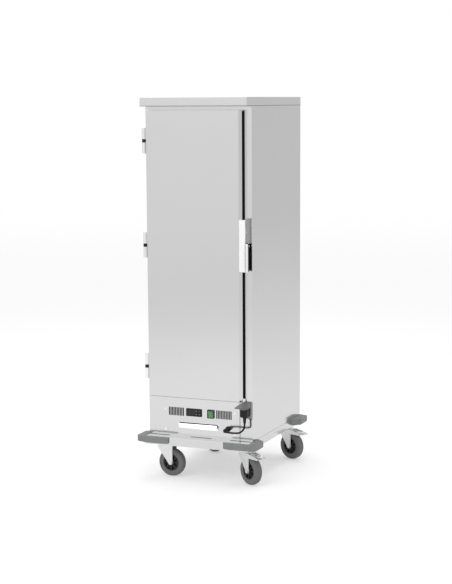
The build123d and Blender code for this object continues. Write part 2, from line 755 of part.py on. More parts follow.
rocker_tilt = 7
rocker_gap = 0.4
rocker_half = switch_height / 2 - switch_back_wall - 2 * rocker_gap
rocker_front_shares = ((-0.36, -0.93), (-0.2, 0), (-0.36, 0.93))
rocker_back_shares = ((0.3, 0.86), (0.3, -0.86))
rocker_points = []
for depth_share, height_share in rocker_front_shares + rocker_back_shares:
    depth, height = depth_share * rocker_half, height_share * rocker_half
    tilt = math.radians(rocker_tilt)
    rocker_points.append((rocker_pivot_y + depth * math.cos(tilt) - height * math.sin(tilt),
                          switch_z + depth * math.sin(tilt) + height * math.cos(tilt)))
rocker_reach = switch_width / 2 - switch_wall - rocker_gap
with BuildPart() as rocker:
    add(side_prism(rocker_points, switch_x - rocker_reach, switch_x + rocker_reach))
    pin_half = socket_half - rest_gap
    add(rod(rocker_pin, (switch_x - pin_half, rocker_pivot_y, switch_z), (1, 0, 0), 2 * pin_half))
keep("rocker", rocker.part)

# Water drawer under the switches, on two standing runners
lip_width = 183.0
lip_height = 23.1
lip_lean = 12.0
lip_stand_off = 1.5
lip_sheet = 1.5
tray_sheet = 1.0
lip_high = tray_bottom + lip_height
lip_profile = [(-lip_stand_off, tray_bottom), (-lip_stand_off - lip_sheet, tray_bottom),
               (-lip_lean - lip_sheet, lip_high), (-lip_lean, lip_high)]
with BuildPart() as water_drawer:
    add(block(drawer_x - tray_half, drawer_x + tray_half, tray_front, tray_front + tray_depth,
              tray_bottom, tray_bottom + tray_height))
    tray_inside = tray_half - tray_sheet
    add(block(drawer_x - tray_inside, drawer_x + tray_inside, tray_front + tray_sheet,
              tray_front + tray_depth - tray_sheet, tray_bottom + tray_sheet,
              tray_bottom + tray_height + overrun), mode=Mode.SUBTRACT)
    add(block(drawer_x - tray_half, drawer_x + tray_half, -lip_stand_off - lip_sheet, tray_front,
              tray_bottom, tray_bottom + tray_sheet))
    add(side_prism(lip_profile, drawer_x - lip_width / 2, drawer_x + lip_width / 2))
keep("water_drawer", water_drawer.part)

runner_ledge = 10.0
drawer_runner_sheet = 1.5
drawer_runner_top = tray_bottom + tray_height
drawer_runners = []
for side in (-1, 1):
    inside = drawer_x + side * (tray_half + tray_side_gap)
    outside = inside + side * drawer_runner_sheet
    ledge_tip = inside - side * runner_ledge
    ledge_top = tray_bottom - rest_gap
    ledge_under = ledge_top - drawer_runner_sheet
    points = [(inside, chassis_top), (outside, chassis_top), (outside, drawer_runner_top),
              (inside, drawer_runner_top), (inside, ledge_top), (ledge_tip, ledge_top),
              (ledge_tip, ledge_under), (inside, ledge_under)]
    with BuildPart() as drawer_runner:
        with BuildSketch(Plane.XZ.offset(-tray_front - tray_depth)):
            with BuildLine():
                Polyline(*points, close=True)
            make_face()
        extrude(amount=tray_depth + tray_front - sheet - rest_gap)
    drawer_runners.append(drawer_runner.part)
keep("drawer_runners", *drawer_runners)

# Park socket, its flap, and the mains cord that is plugged into it
corner_left = panel_right + seam_gap
socket_inset = 44.0
socket_width = 42.0
socket_rise = 104.0
socket_height = 62.0
socket_proud = 10.0
socket_round = 5.0
socket_left = half_width - socket_inset
socket_low = chassis_top + socket_rise
socket_high = socket_low + socket_height
socket_right = socket_left + socket_width
socket_x = (socket_left + socket_right) / 2
with BuildPart() as socket_panel:
    add(block(corner_left, side_inside, 0, sheet, chassis_top, panel_top - rest_gap))
    notch_x = foot_notch_shares[-1] * half_width
    add(block(notch_x - foot_notch_width / 2, notch_x + foot_notch_width / 2, -overrun, sheet + overrun,
              chassis_top - overrun, chassis_top + foot_notch_height), mode=Mode.SUBTRACT)
keep("socket_panel", socket_panel.part)

flap_pivot_y = -5.5
flap_pivot_rise = 5.0
flap_pivot_z = socket_high + flap_pivot_rise
flap_pin = 2.5
flap_knuckle = 4.5
flap_droop = 19
flap_reach = 57.0
flap_radius = 26.0
flap_plate = 3.0
flap_rim = 5.0
flap_rim_wall = 2.5
flap_offset = -1.5
flap_tab_side = 32.0
flap_tab_reach = 54.5
flap_tab_radius = 3.0
lug_width = 5.0
with BuildPart() as socket_housing:
    with BuildSketch(Plane.XZ):
        with Locations((socket_x, (socket_low + socket_high) / 2)):
            RectangleRounded(socket_width, socket_height, socket_round)
    extrude(amount=socket_proud)
    for lug_x in (socket_left, socket_right - lug_width):
        add(block(lug_x, lug_x + lug_width, flap_pivot_y - flap_pin, 0, socket_high - overrun,
                  flap_pivot_z + flap_pin))
    flap_pin_length = socket_width - 2 * overrun
    add(rod(flap_pin, (socket_left + overrun, flap_pivot_y, flap_pivot_z), (1, 0, 0), flap_pin_length))
keep("socket_housing", socket_housing.part)

with BuildPart() as socket_flap:
    droop = math.radians(flap_droop)
    along = Vector(0, -math.cos(droop), -math.sin(droop))
    lift = Vector(0, -math.sin(droop), math.cos(droop))
    plate_plane = Plane(origin=Vector(socket_x + flap_offset, flap_pivot_y, flap_pivot_z) + lift * flap_pin,
                        x_dir=(1, 0, 0), z_dir=lift)
    centre_reach = flap_radius - flap_reach
    knuckle_length = socket_width - 2 * lug_width - 2 * overrun
    knuckle_start = socket_x + flap_offset - knuckle_length / 2
    with BuildSketch(plate_plane):
        with BuildLine():
            CenterArc((0, centre_reach), flap_radius, 0, 360)
            CenterArc((-flap_tab_side, -flap_tab_reach), flap_tab_radius, 0, 360)
        make_hull()
        with Locations((0, centre_reach / 2)):
            Rectangle(knuckle_length, -centre_reach)
    extrude(amount=flap_plate)
    with BuildSketch(plate_plane):
        with Locations((0, centre_reach)):
            Circle(flap_radius)
            Circle(flap_radius - flap_rim_wall, mode=Mode.SUBTRACT)
    extrude(amount=-flap_rim)
    add(rod(flap_knuckle, (knuckle_start, flap_pivot_y, flap_pivot_z), (1, 0, 0), knuckle_length))
    add(rod(flap_pin + running_clearance, (knuckle_start - overrun, flap_pivot_y, flap_pivot_z), (1, 0, 0),
            knuckle_length + 2 * overrun), mode=Mode.SUBTRACT)
keep("socket_flap", socket_flap.part)

plug_half_width = 15.5
plug_rise = 11.0
plug_front = -46.0
plug_x = socket_x
plug_low = socket_low + plug_rise
plug_round = 5.0
plug_neck_radius = 7.5
plug_neck_tip = 5.5
plug_neck_length = 26.0
plug_neck_low = plug_low - plug_neck_length
plug_neck_y = -35.0
plug_high = (flap_pivot_z - math.tan(droop) * (flap_pivot_y - plug_front)
             - (flap_rim - flap_pin) / math.cos(droop) - rest_gap)
with BuildPart() as plug:
    with BuildSketch(Plane.XZ.offset(socket_proud)):
        with Locations((plug_x, (plug_low + plug_high) / 2)):
            RectangleRounded(2 * plug_half_width, plug_high - plug_low, plug_round)
    extrude(amount=-plug_front - socket_proud)
    with BuildSketch(Plane.XY.offset(plug_neck_low)):
        with Locations((plug_x, plug_neck_y)):
            Circle(plug_neck_tip)
    with BuildSketch(Plane.XY.offset(plug_low + plug_round)):
        with Locations((plug_x, plug_neck_y)):
            Circle(plug_neck_radius)
    loft()
keep("plug", plug.part)

with BuildPart() as cord_gland:
    with BuildSketch(Plane.XZ.offset(-sheet - overrun)):
        with Locations((gland_x, gland_z)):
            Circle(gland_tip_radius)
    extrude(amount=sheet + overrun)
    with BuildSketch(Plane.XZ):
        with Locations((gland_x, gland_z)):
            Circle(gland_flange)
    extrude(amount=gland_flange_depth)
    with BuildSketch(Plane.XZ.offset(gland_flange_depth)):
        with Locations((gland_x, gland_z)):
            Circle(gland_radius)
    with BuildSketch(Plane.XZ.offset(gland_length)):
        with Locations((gland_x, gland_z)):
            Circle(gland_tip_radius)
    loft()
keep("cord_gland", cord_gland.part)

cord_radius = 4.0
cord_bend_share = 0.45
# The route's points are measured from the gland's middle at the panel
cord_route = [(0, -40.0, 0), (0, -49.0, 0), (6.5, -57.5, 0), (21.0, -60.5, -0.2), (40.0, -60.5, -1.0),
              (59.0, -59.5, -1.2), (77.0, -55.0, 1.0), (88.0, -44.5, 11.0), (91.0, -35.0, 25.0),
              (91.0, -35.0, 40.0)]
route = [Vector(gland_x, 0, gland_z) + Vector(*point) for point in cord_route]
runs = [after - before for before, after in zip(route, route[1:])]
bend_radii = []
for before, after in zip(runs, runs[1:]):
    half_turn = math.radians(before.get_angle(after)) / 2
    bend_radii.append(cord_bend_share * min(before.length, after.length) / math.tan(half_turn))
print("cord bend radii, mm:", [round(radius, 1) for radius in bend_radii])
with BuildPart() as cord:
    with BuildLine() as cord_line:
        FilletPolyline(*route, radius=bend_radii)
    with BuildSketch(Plane(origin=route[0], z_dir=runs[0])):
        Circle(cord_radius)
    sweep(path=cord_line.wires()[0])
cord_length = cord_line.wires()[0].length
print("cord length, mm:", round(cord_length, 1),
      "volume share:", round(cord.part.volume / (math.pi * cord_radius ** 2 * cord_length), 4))
keep("cord", cord.part)

# Swivel casters
plate_length = 95.0
plate_width = 80.0
raceway_radius = 30.0
raceway_lip = 26.0
kingpin_radius = 6.0
trail = 46.0
crown_lead = 16.0
crown_tail = 56.0
crown_edge = 12.0
cheek = 3.0
fork_inside = 19.0
axle_radius = 6.0
axle_eye = 10.0
axle_head = 9.0
axle_head_depth = 5.0
tyre_width = 33.0
tyre_seat = 38.0
tyre_shoulder = 9.0
tread_shares = ((1, 1), (0.33, 0.8), (0, 0.35))
hub_rim = 4.0
hub_web = 6.0
hub_barrel = 15.0
hub_half_width = 18.0
hub_rim_step = 1.2
hub_ribs = 8
hub_rib_thickness = 3.5
ear_tip = 121.0
ear_drop = 12.0
ear_lean = 6.0
ear_height = 20.0
pedal_pivot = 78.0
pedal_pivot_drop = 8.0
pedal_barrel = 5.5
pedal_half_width = 17.5
pedal_bend = 96.0
pedal_step = 110.0
pedal_tip = 130.0
pedal_fall = 7.5
pedal_tip_fall = 3.0
pedal_sheet = 4.0
pedal_slot_near = 97.0
pedal_slot_far = 103.0
pedal_slot_half = 12.5
shoe_reach = 8.0
shoe_width = 6.0
shoe_drop = 16.0
hub_bore = axle_radius + running_clearance
hub_rim_width = tyre_width - 2 * hub_rim_step
casters = {
    "front_left": (-caster_x, front_caster, 3, False),
    "front_right": (caster_x, front_caster, 31, True),
    "rear_left": (-caster_x, rear_caster, 24, False),
    "rear_right": (caster_x, rear_caster, 22, True),
}

caster_plates = []
for swivel_x, swivel_y, turn, braked in casters.values():
    with BuildPart() as caster_plate:
        add(block(swivel_x - plate_length / 2, swivel_x + plate_length / 2, swivel_y - plate_width / 2,
                  swivel_y + plate_width / 2, plate_bottom, chassis_bottom))
        with BuildSketch(Plane.XY.offset(plate_bottom)):
            with Locations((swivel_x, swivel_y)):
                Circle(raceway_radius)
        with BuildSketch(Plane.XY.offset(raceway_bottom)):
            with Locations((swivel_x, swivel_y)):
                Circle(raceway_lip)
        loft()
        with Locations((swivel_x, swivel_y, chassis_bottom)):
            Hole(kingpin_radius + running_clearance, depth=chassis_bottom - raceway_bottom + overrun)
    caster_plates.append(caster_plate.part)
keep("caster_plates", *caster_plates)


def build_fork(base, outward, across, braked):
    """The swivelling fork, whose outline is drawn along the trail and upward."""
    def cheek_plane(offset_across):
        return Plane(origin=base + across * offset_across, x_dir=outward, z_dir=across)

    up_sign = 1 if (across.cross(outward)).Z > 0 else -1
    with BuildPart() as fork:
        for start in (-fork_inside - cheek, fork_inside):
            with BuildSketch(cheek_plane(start)):
                with BuildLine():
                    Polyline((-crown_lead, up_sign * (crown_top - crown_edge)),
                             (-crown_lead, up_sign * crown_top), (crown_tail, up_sign * crown_top))
                    CenterArc((trail, up_sign * wheel_radius), axle_eye, 0, 360)
                make_hull()
                if braked:
                    ear = [(crown_tail - overrun, crown_top), (ear_tip, crown_top - ear_drop),
                           (ear_tip - ear_lean, crown_top - ear_height),
                           (crown_tail - overrun, crown_top - ear_height)]
                    with BuildLine():
                        Polyline(*[(reach, up_sign * height) for reach, height in ear], close=True)
                    make_face()
            extrude(amount=cheek)
        with BuildSketch(cheek_plane(-fork_inside - cheek)):
            with Locations(((crown_tail - crown_lead) / 2, up_sign * (crown_top - crown_thickness / 2))):
                Rectangle(crown_tail + crown_lead, crown_thickness)
        extrude(amount=2 * (fork_inside + cheek))
        add(rod(kingpin_radius, (base.X, base.Y, crown_top - crown_thickness), (0, 0, 1),
                chassis_bottom - crown_top + crown_thickness - rest_gap))
        fork_reach = fork_inside + cheek
        axle_middle = base + outward * trail + Vector(0, 0, wheel_radius)
        add(rod(axle_radius, axle_middle - across * (fork_reach + overrun), across,
                2 * (fork_reach + overrun)), mode=Mode.SUBTRACT)
        if braked:
            pin_middle = base + outward * pedal_pivot + Vector(0, 0, crown_top - pedal_pivot_drop)
            add(rod(lever_pin, pin_middle - across * fork_reach, across, 2 * fork_reach))
    return fork.part


def build_axle(base, outward, across):
    centre = base + outward * trail + Vector(0, 0, wheel_radius)
    reach = fork_inside + cheek
    with BuildPart() as axle:
        add(rod(axle_radius - press_relief, centre - across * (reach + axle_head_depth), across,
                2 * (reach + axle_head_depth)))
        for start in (-reach - axle_head_depth, reach):
            with BuildSketch(Plane(origin=centre + across * start, z_dir=across)):
                RegularPolygon(axle_head, 6)
            extrude(amount=axle_head_depth)
    return axle.part


def build_tyre(centre, across):
    half = tyre_width / 2
    one_side = [(tyre_seat, half)] + [(wheel_radius - drop_share * tyre_shoulder, width_share * half)
                                      for drop_share, width_share in tread_shares]
    outline = one_side + [(radius, -reach) for radius, reach in reversed(one_side)]
    with BuildPart() as tyre:
        with BuildSketch(Plane(origin=centre, x_dir=(0, 0, 1), z_dir=across.cross(Vector(0, 0, 1)))):
            with BuildLine():
                Polyline(*outline, close=True)
            make_face()
        revolve(axis=Axis(centre, across))
    return tyre.part


def build_hub(centre, across):
    half = tyre_width / 2
    with BuildPart() as hub:
        for radius, inner, width in ((tyre_seat - press_relief, tyre_seat - hub_rim, hub_rim_width),
                                     (tyre_seat - hub_rim, hub_bore, hub_web),
                                     (hub_barrel, hub_bore, 2 * hub_half_width)):
            with BuildSketch(Plane(origin=centre - across * (width / 2), z_dir=across)):
                Circle(radius)
                Circle(inner, mode=Mode.SUBTRACT)
            extrude(amount=width)
        rib_width = hub_rim_width - 2 * hub_rim_step
        rib_length = tyre_seat - hub_rim / 2 - hub_barrel + overrun
        with BuildSketch(Plane(origin=centre - across * (rib_width / 2), z_dir=across)):
            with PolarLocations(hub_barrel - overrun + rib_length / 2, hub_ribs):
                Rectangle(rib_length, hub_rib_thickness)
        extrude(amount=rib_width)
    return hub.part


def build_pedal(base, outward, across):
    """The brake pedal: a barrel on the fork's pin, a slotted treadle and a shoe over the tyre."""
    up_sign = 1 if (across.cross(outward)).Z > 0 else -1
    pivot_height = crown_top - pedal_pivot_drop
    tread_top = pivot_height + pedal_barrel
    step_top = tread_top - pedal_fall
    tip_top = step_top - pedal_tip_fall
    treadle_top = [(pedal_pivot, tread_top), (pedal_bend, tread_top), (pedal_step, step_top),
                   (pedal_tip, tip_top)]
    treadle = treadle_top + [(reach, height - pedal_sheet) for reach, height in reversed(treadle_top)]
    shoe_back = pedal_pivot + shoe_reach
    shoe_foot = pivot_height - shoe_drop
    shoe_top = tread_top - pedal_sheet / 2
    shoe = [(pedal_pivot + overrun, shoe_top), (shoe_back + shoe_width, shoe_top),
            (shoe_back, shoe_foot), (pedal_pivot + overrun, shoe_foot + shoe_width)]
    with BuildPart() as pedal:
        for outline, half in ((treadle, pedal_half_width), (shoe, pedal_half_width / 2)):
            with BuildSketch(Plane(origin=base - across * half, x_dir=outward, z_dir=across)):
                with BuildLine():
                    Polyline(*[(reach, up_sign * height) for reach, height in outline], close=True)
                make_face()
            extrude(amount=2 * half)
        with BuildSketch(Plane(origin=base + Vector(0, 0, step_top - pedal_sheet), x_dir=outward)):
            with Locations(((pedal_slot_near + pedal_slot_far) / 2, 0)):
                Rectangle(pedal_slot_far - pedal_slot_near, 2 * pedal_slot_half)
        extrude(amount=pedal_fall + 2 * pedal_sheet, mode=Mode.SUBTRACT)
        pivot = base + outward * pedal_pivot + Vector(0, 0, pivot_height)
        add(rod(pedal_barrel, pivot - across * pedal_half_width, across, 2 * pedal_half_width))
        add(rod(lever_pin + running_clearance, pivot - across * (pedal_half_width + overrun), across,
                2 * (pedal_half_width + overrun)), mode=Mode.SUBTRACT)
    return pedal.part


for name, (swivel_x, swivel_y, turn, braked) in casters.items():
    angle = math.radians(-turn)
    outward = Vector(math.cos(angle), math.sin(angle), 0)
    across = Vector(-math.sin(angle), math.cos(angle), 0)
    base = Vector(swivel_x, swivel_y, 0)
    wheel_centre = base + outward * trail + Vector(0, 0, wheel_radius)
    keep(f"fork_{name}", build_fork(base, outward, across, braked), build_axle(base, outward, across))
    keep(f"tyre_{name}", build_tyre(wheel_centre, across))
    keep(f"hub_{name}", build_hub(wheel_centre, across))
    if braked:
        keep(f"brake_pedal_{name}", build_pedal(base, outward, across))

# The origin is the middle of the bottom of the whole cart's box, the cord left out
boxes = [piece.bounding_box() for name, piece in finished.items() if name not in cord_nodes]
centre_x = (min(box.min.X for box in boxes) + max(box.max.X for box in boxes)) / 2
centre_y = (min(box.min.Y for box in boxes) + max(box.max.Y for box in boxes)) / 2
print("origin at x, y:", round(centre_x, 3), round(centre_y, 3))
os.makedirs("parts", exist_ok=True)
for name, piece in finished.items():
    placed = piece.moved(Location((-centre_x, -centre_y, 0)))
    placed.label = name
    export_step(placed, f"parts/{name}.step")
print("nodes:", len(finished))
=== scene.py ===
import json
import math

import bmesh
import bpy
from mathutils import Matrix, Vector


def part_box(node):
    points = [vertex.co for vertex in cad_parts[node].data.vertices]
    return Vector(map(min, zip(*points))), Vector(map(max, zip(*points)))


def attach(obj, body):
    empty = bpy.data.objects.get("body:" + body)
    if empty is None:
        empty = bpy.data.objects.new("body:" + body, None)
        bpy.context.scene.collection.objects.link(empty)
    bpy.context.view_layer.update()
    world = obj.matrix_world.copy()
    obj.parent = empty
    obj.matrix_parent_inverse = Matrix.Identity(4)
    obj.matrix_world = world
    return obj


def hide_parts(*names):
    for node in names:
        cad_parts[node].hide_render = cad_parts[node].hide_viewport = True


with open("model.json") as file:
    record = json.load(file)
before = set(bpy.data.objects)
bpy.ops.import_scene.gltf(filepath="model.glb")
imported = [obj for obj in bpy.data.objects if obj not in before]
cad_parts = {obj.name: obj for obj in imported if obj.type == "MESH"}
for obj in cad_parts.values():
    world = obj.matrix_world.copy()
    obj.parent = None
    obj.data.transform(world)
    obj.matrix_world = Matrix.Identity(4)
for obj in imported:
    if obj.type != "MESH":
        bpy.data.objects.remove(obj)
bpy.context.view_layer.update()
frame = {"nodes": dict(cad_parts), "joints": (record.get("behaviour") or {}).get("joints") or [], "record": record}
nodes = frame["nodes"]
joints = {joint["name"]: joint for joint in frame["joints"]}
mm = 0.001
print("frame loaded:", len(nodes), "nodes")

# Every place below is measured from the middle of the cabinet's front plane, on the floor
rearLow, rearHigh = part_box("rear_panel")
middleX = (rearLow.x + rearHigh.x) / 2
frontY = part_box("right_panel")[0].y


def place(x, y, z):
    return Vector((middleX + x, frontY + y, z))


# Camera
cameraView = {"eye": (2.5232, -5.7573, 1.6437), "yaw": -22.6269, "pitch": -8.9207, "roll": -0.3299,
              "focalPixels": 1471.53, "shiftPixels": 40, "longSidePixels": 584, "sensor": 36, "reach": 100}


def makeCamera():
    yaw, pitch, roll = (math.radians(cameraView[name]) for name in ("yaw", "pitch", "roll"))
    forward = Vector((math.sin(yaw) * math.cos(pitch), math.cos(yaw) * math.cos(pitch), math.sin(pitch)))
    levelRight = Vector((math.cos(yaw), -math.sin(yaw), 0))
    levelUp = levelRight.cross(forward)
    right = math.cos(roll) * levelRight + math.sin(roll) * levelUp
    up = math.cos(roll) * levelUp - math.sin(roll) * levelRight
    data = bpy.data.cameras.new("photoCamera")
    camera = bpy.data.objects.new("photoCamera", data)
    bpy.context.scene.collection.objects.link(camera)
    turned = Matrix((right, up, -forward)).transposed().to_4x4()
    camera.matrix_world = Matrix.Translation(place(*cameraView["eye"])) @ turned
    data.sensor_width = cameraView["sensor"]
    data.lens = cameraView["focalPixels"] / cameraView["longSidePixels"] * cameraView["sensor"]
    data.shift_y = cameraView["shiftPixels"] / cameraView["longSidePixels"]
    data.clip_end = cameraView["reach"]
    bpy.context.scene.camera = camera


makeCamera()
bpy.context.scene.view_settings.view_transform = "Standard"
print("camera set")


# Shader wires that can be used in plain sums
class Wire:
    def __init__(self, paint, socket):
        self.paint = paint
        self.socket = socket

    def combine(self, operation, first, second):
        return self.paint.wire("ShaderNodeMath", {"operation": operation}, {0: first, 1: second})

    def __add__(self, other):
        return self.combine("ADD", self, other)

    def __sub__(self, other):
        return self.combine("SUBTRACT", self, other)

    def __rsub__(self, other):
        return self.combine("SUBTRACT", other, self)

    def __mul__(self, other):
        return self.combine("MULTIPLY", self, other)

    __radd__ = __add__
    __rmul__ = __mul__


class Paint:
    def __init__(self, name, tree=None):
        if tree is None:
            self.material = bpy.data.materials.new(name)
            self.material.use_nodes = True
            tree = self.material.node_tree
        self.tree = tree
        tree.nodes.clear()

    def node(self, kind, settings=None, inputs=None):
        made = self.tree.nodes.new(kind)
        for name, value in (settings or {}).items():
            setattr(made, name, value)
        for key, value in (inputs or {}).items():
            if isinstance(value, Wire):
                self.tree.links.new(value.socket, made.inputs[key])
            else:
                made.inputs[key].default_value = value
        return made

    def wire(self, kind, settings=None, inputs=None, output=0):
        return Wire(self, self.node(kind, settings, inputs).outputs[output])

    def spot(self, stretch=(1, 1, 1)):
        spot = self.wire("ShaderNodeTexCoord", output="Object")
        return self.wire("ShaderNodeVectorMath", {"operation": "MULTIPLY"}, {0: spot, 1: stretch})

    def noise(self, scale, stretch=(1, 1, 1), detail=3):
        return self.wire("ShaderNodeTexNoise", None, {"Vector": self.spot(stretch), "Scale": scale,
                                                      "Detail": detail})

    def blend(self, factor, first, second):
        # 6 and 7 are the colour sockets of a Mix node, and 2 its colour output
        return self.wire("ShaderNodeMix", {"data_type": "RGBA"}, {0: factor, 6: first, 7: second}, output=2)

    def smoothRise(self, value, start, end):
        return self.wire("ShaderNodeMapRange", {"interpolation_type": "SMOOTHSTEP"},
                         {"Value": value, "From Min": start, "From Max": end})

    def surface(self, **sockets):
        shader = self.wire("ShaderNodeBsdfPrincipled", None, sockets)
        self.node("ShaderNodeOutputMaterial", None, {"Surface": shader})
        return self.material


def grey(level):
    return (level, level, level, 1)


# Places where a steel's colour is changed, each as (middle, half size) in metres from the same origin: the
# polished drawer lip, and elsewhere painted shade and painted highlight
zones = {
    # painted shade: the inside of the service compartment is painted near black, where shade falls behind the
    # vents
    "compartmentShade": {"X": (0, 0.2443), "Y": (0.3, 0.2994), "Z": (0.2747, 0.0842), "grey": 0.045, "roughness": 0.35},
    "lip": {"Y": (-0.02, 0.019), "grey": 0.98, "roughness": -0.2},
    # painted shadow: the tray's front wall behind the lip is painted near black as the shadow gap above the lip
    "trayGapShadow": {"Y": (0.004, 0.0025), "grey": 0.03, "roughness": 0.25},
    # painted highlight: the top face of the chassis ledge is painted lighter than the rest of the frame steel
    "ledgeTopHighlight": {"Z": (0.19, 0.0004), "grey": 0.97, "roughness": -0.04},
    # painted shadow: a thin dark line along the side panels just above the ledge
    "sideHemShadow": {"Z": (0.1907, 0.0009), "grey": 0.25, "roughness": 0.2},
    # painted shadow: a thin dark line along the top cap's skirt edge, where shade falls under the hem
    "capHemShadow": {"Z": (1.6242, 0.0012), "grey": 0.22, "roughness": 0.2},
}

# Sheet and cast metals, each with its own grain
outerSheet = {"light": 0.74, "dark": 0.71, "roughness": 0.14, "sweep": 0.05, "grain": (900, 900, 12),
              "bump": 0.03}
metalFinishes = {
    "stainless": {**outerSheet, "zones": ["compartmentShade"]},
    "innerSteel": {"light": 0.7, "dark": 0.63, "roughness": 0.3, "sweep": 0.08, "grain": (700, 700, 20),
                   "bump": 0.05, "zones": ["compartmentShade"]},
    "polished": {"light": 0.97, "dark": 0.93, "roughness": 0.08, "sweep": 0.04, "grain": (300, 300, 300),
                 "bump": 0.01, "zones": []},
    "capSteel": {**outerSheet, "zones": ["capHemShadow"]},
    "sideSteel": {**outerSheet, "zones": ["compartmentShade", "sideHemShadow"]},
    "frameSteel": {"light": 0.73, "dark": 0.7, "roughness": 0.14, "sweep": 0.04, "grain": (900, 900, 12),
                   "bump": 0.02, "zones": ["ledgeTopHighlight"]},
    # steel with painted shade: the tray is painted darker than the other steels to show the shade inside the
    # compartment, and the lip zone keeps the lip's own polish
    "shadedDrawerSteel": {"light": 0.5, "dark": 0.44, "roughness": 0.3, "sweep": 0.06, "grain": (700, 700, 20),
                    "bump": 0.04, "zones": ["lip", "trayGapShadow"]},
    "zincPlate": {"light": 0.86, "dark": 0.76, "roughness": 0.3, "sweep": 0.1, "grain": (260, 260, 260),
                  "bump": 0.08, "zones": []},
    "heaterTube": {"light": 0.34, "dark": 0.2, "roughness": 0.42, "sweep": 0.12, "grain": (200, 200, 200),
                   "bump": 0.1, "zones": []},
}
metalLook = {"handledScale": 3.5, "handledDetail": 4, "grainDetail": 2, "grainDepth": 0.0004}


def insideZone(paint, zone):
    # 1 inside the zone and 0 outside it
    apart = paint.node("ShaderNodeSeparateXYZ", None, {0: paint.spot()})
    inside = 1
    for axis, offset in zip("XYZ", place(0, 0, 0)):
        if axis in zone:
            middle, half = zone[axis]
            inside = paint.wire("ShaderNodeMath", {"operation": "COMPARE"},
                                {0: Wire(paint, apart.outputs[axis]), 1: middle + offset, 2: half}) * inside
    return inside


def metalPaint(name):
    finish = metalFinishes[name]
    paint = Paint(name)
    handled = paint.noise(metalLook["handledScale"], detail=metalLook["handledDetail"])
    grain = paint.noise(1, finish["grain"], metalLook["grainDetail"])
    tone = paint.blend(handled, grey(finish["light"]), grey(finish["dark"]))
    sweep = finish["sweep"]
    roughness = finish["roughness"] + (handled - 0.5) * sweep + (grain - 0.5) * (sweep / 2)
    # each zone blends in its own colour: painted shade, painted highlight, or the drawer lip's polish
    for zone in (zones[zoneName] for zoneName in finish["zones"]):
        inside = insideZone(paint, zone)
        tone = paint.blend(inside, tone, grey(zone["grey"]))
        roughness = roughness + inside * zone["roughness"]
    relief = paint.wire("ShaderNodeBump", None, {"Strength": finish["bump"], "Height": grain,
                                                 "Distance": metalLook["grainDepth"]})
    return paint.surface(**{"Base Color": tone, "Metallic": 1.0, "Roughness": roughness, "Normal": relief})


# Moulded plastics and rubbers
mouldedFinishes = {
    "bumperGrey": {"light": (0.235, 0.24, 0.24), "dark": (0.2, 0.205, 0.21), "roughness": 0.5,
                   "scale": 900, "bump": 0.12},
    "greyPlastic": {"light": (0.32, 0.32, 0.325), "dark": (0.285, 0.285, 0.29), "roughness": 0.42,
                    "scale": 1100, "bump": 0.06},
    "flapGrey": {"light": (0.15, 0.15, 0.153), "dark": (0.125, 0.125, 0.128), "roughness": 0.42,
                 "scale": 1100, "bump": 0.06},
    "whitePlastic": {"light": (0.95, 0.95, 0.945), "dark": (0.92, 0.92, 0.915), "roughness": 0.3,
                     "scale": 900, "bump": 0.03},
    "blackPlastic": {"light": (0.012, 0.012, 0.013), "dark": (0.007, 0.007, 0.008), "roughness": 0.46,
                     "scale": 1300, "bump": 0.05, "gloss": 0.3},
    "glossBlack": {"light": (0.013, 0.013, 0.014), "dark": (0.008, 0.008, 0.009), "roughness": 0.2,
                   "scale": 500, "bump": 0.01},
    "keyBlack": {"light": (0.03, 0.03, 0.032), "dark": (0.02, 0.02, 0.022), "roughness": 0.45,
                 "scale": 1500, "bump": 0.04},
    "rockerGreen": {"light": (0.13, 0.31, 0.13), "dark": (0.09, 0.24, 0.09), "roughness": 0.22,
                    "scale": 160, "bump": 0.02},
    "darkWindow": {"light": (0.015, 0.013, 0.013), "dark": (0.01, 0.008, 0.008), "roughness": 0.12,
                   "scale": 90, "bump": 0.005},
    "sealRubber": {"light": (0.004, 0.004, 0.004), "dark": (0.002, 0.002, 0.002), "roughness": 0.7,
                   "scale": 700, "bump": 0.15, "gloss": 0.08},
    "tyreRubber": {"light": (0.17, 0.17, 0.175), "dark": (0.128, 0.128, 0.132), "roughness": 0.62,
                   "scale": 420, "bump": 0.2},
    "hubBlack": {"light": (0.04, 0.04, 0.043), "dark": (0.02, 0.02, 0.022), "roughness": 0.42,
                 "scale": 600, "bump": 0.08},
    "cordRubber": {"light": (0.008, 0.008, 0.008), "dark": (0.005, 0.005, 0.005), "roughness": 0.55,
                   "scale": 800, "bump": 0.1, "gloss": 0.25},
    "whiteMark": {"light": (0.78, 0.78, 0.76), "dark": (0.7, 0.7, 0.68), "roughness": 0.45,
                  "scale": 400, "bump": 0.03},
    "fibreFill": {"light": (0.72, 0.66, 0.45), "dark": (0.52, 0.46, 0.28), "roughness": 0.95,
                  "scale": 240, "bump": 0.8},
}
mouldedLook = {"patchScale": 22, "patchDetail": 5, "patchSweep": 0.12, "skinDetail": 2, "skinSweep": 0.06,
               "skinDepth": 0.0003, "gloss": 0.5}


def mouldedPaint(name):
    finish = mouldedFinishes[name]
    paint = Paint(name)
    patches = paint.noise(mouldedLook["patchScale"], detail=mouldedLook["patchDetail"])
    skin = paint.noise(finish["scale"], detail=mouldedLook["skinDetail"])
    tone = paint.blend(patches, (*finish["light"], 1), (*finish["dark"], 1))
    roughness = (finish["roughness"] + (patches - 0.5) * mouldedLook["patchSweep"]
                 + (skin - 0.5) * mouldedLook["skinSweep"])
    relief = paint.wire("ShaderNodeBump", None, {"Strength": finish["bump"], "Height": skin,
                                                 "Distance": mouldedLook["skinDepth"]})
    return paint.surface(**{"Base Color": tone, "Roughness": roughness, "Normal": relief,
                            "Specular IOR Level": finish.get("gloss", mouldedLook["gloss"])})


paints = {name: metalPaint(name) for name in metalFinishes}
paints.update({name: mouldedPaint(name) for name in mouldedFinishes})
print("finishes made:", len(paints))

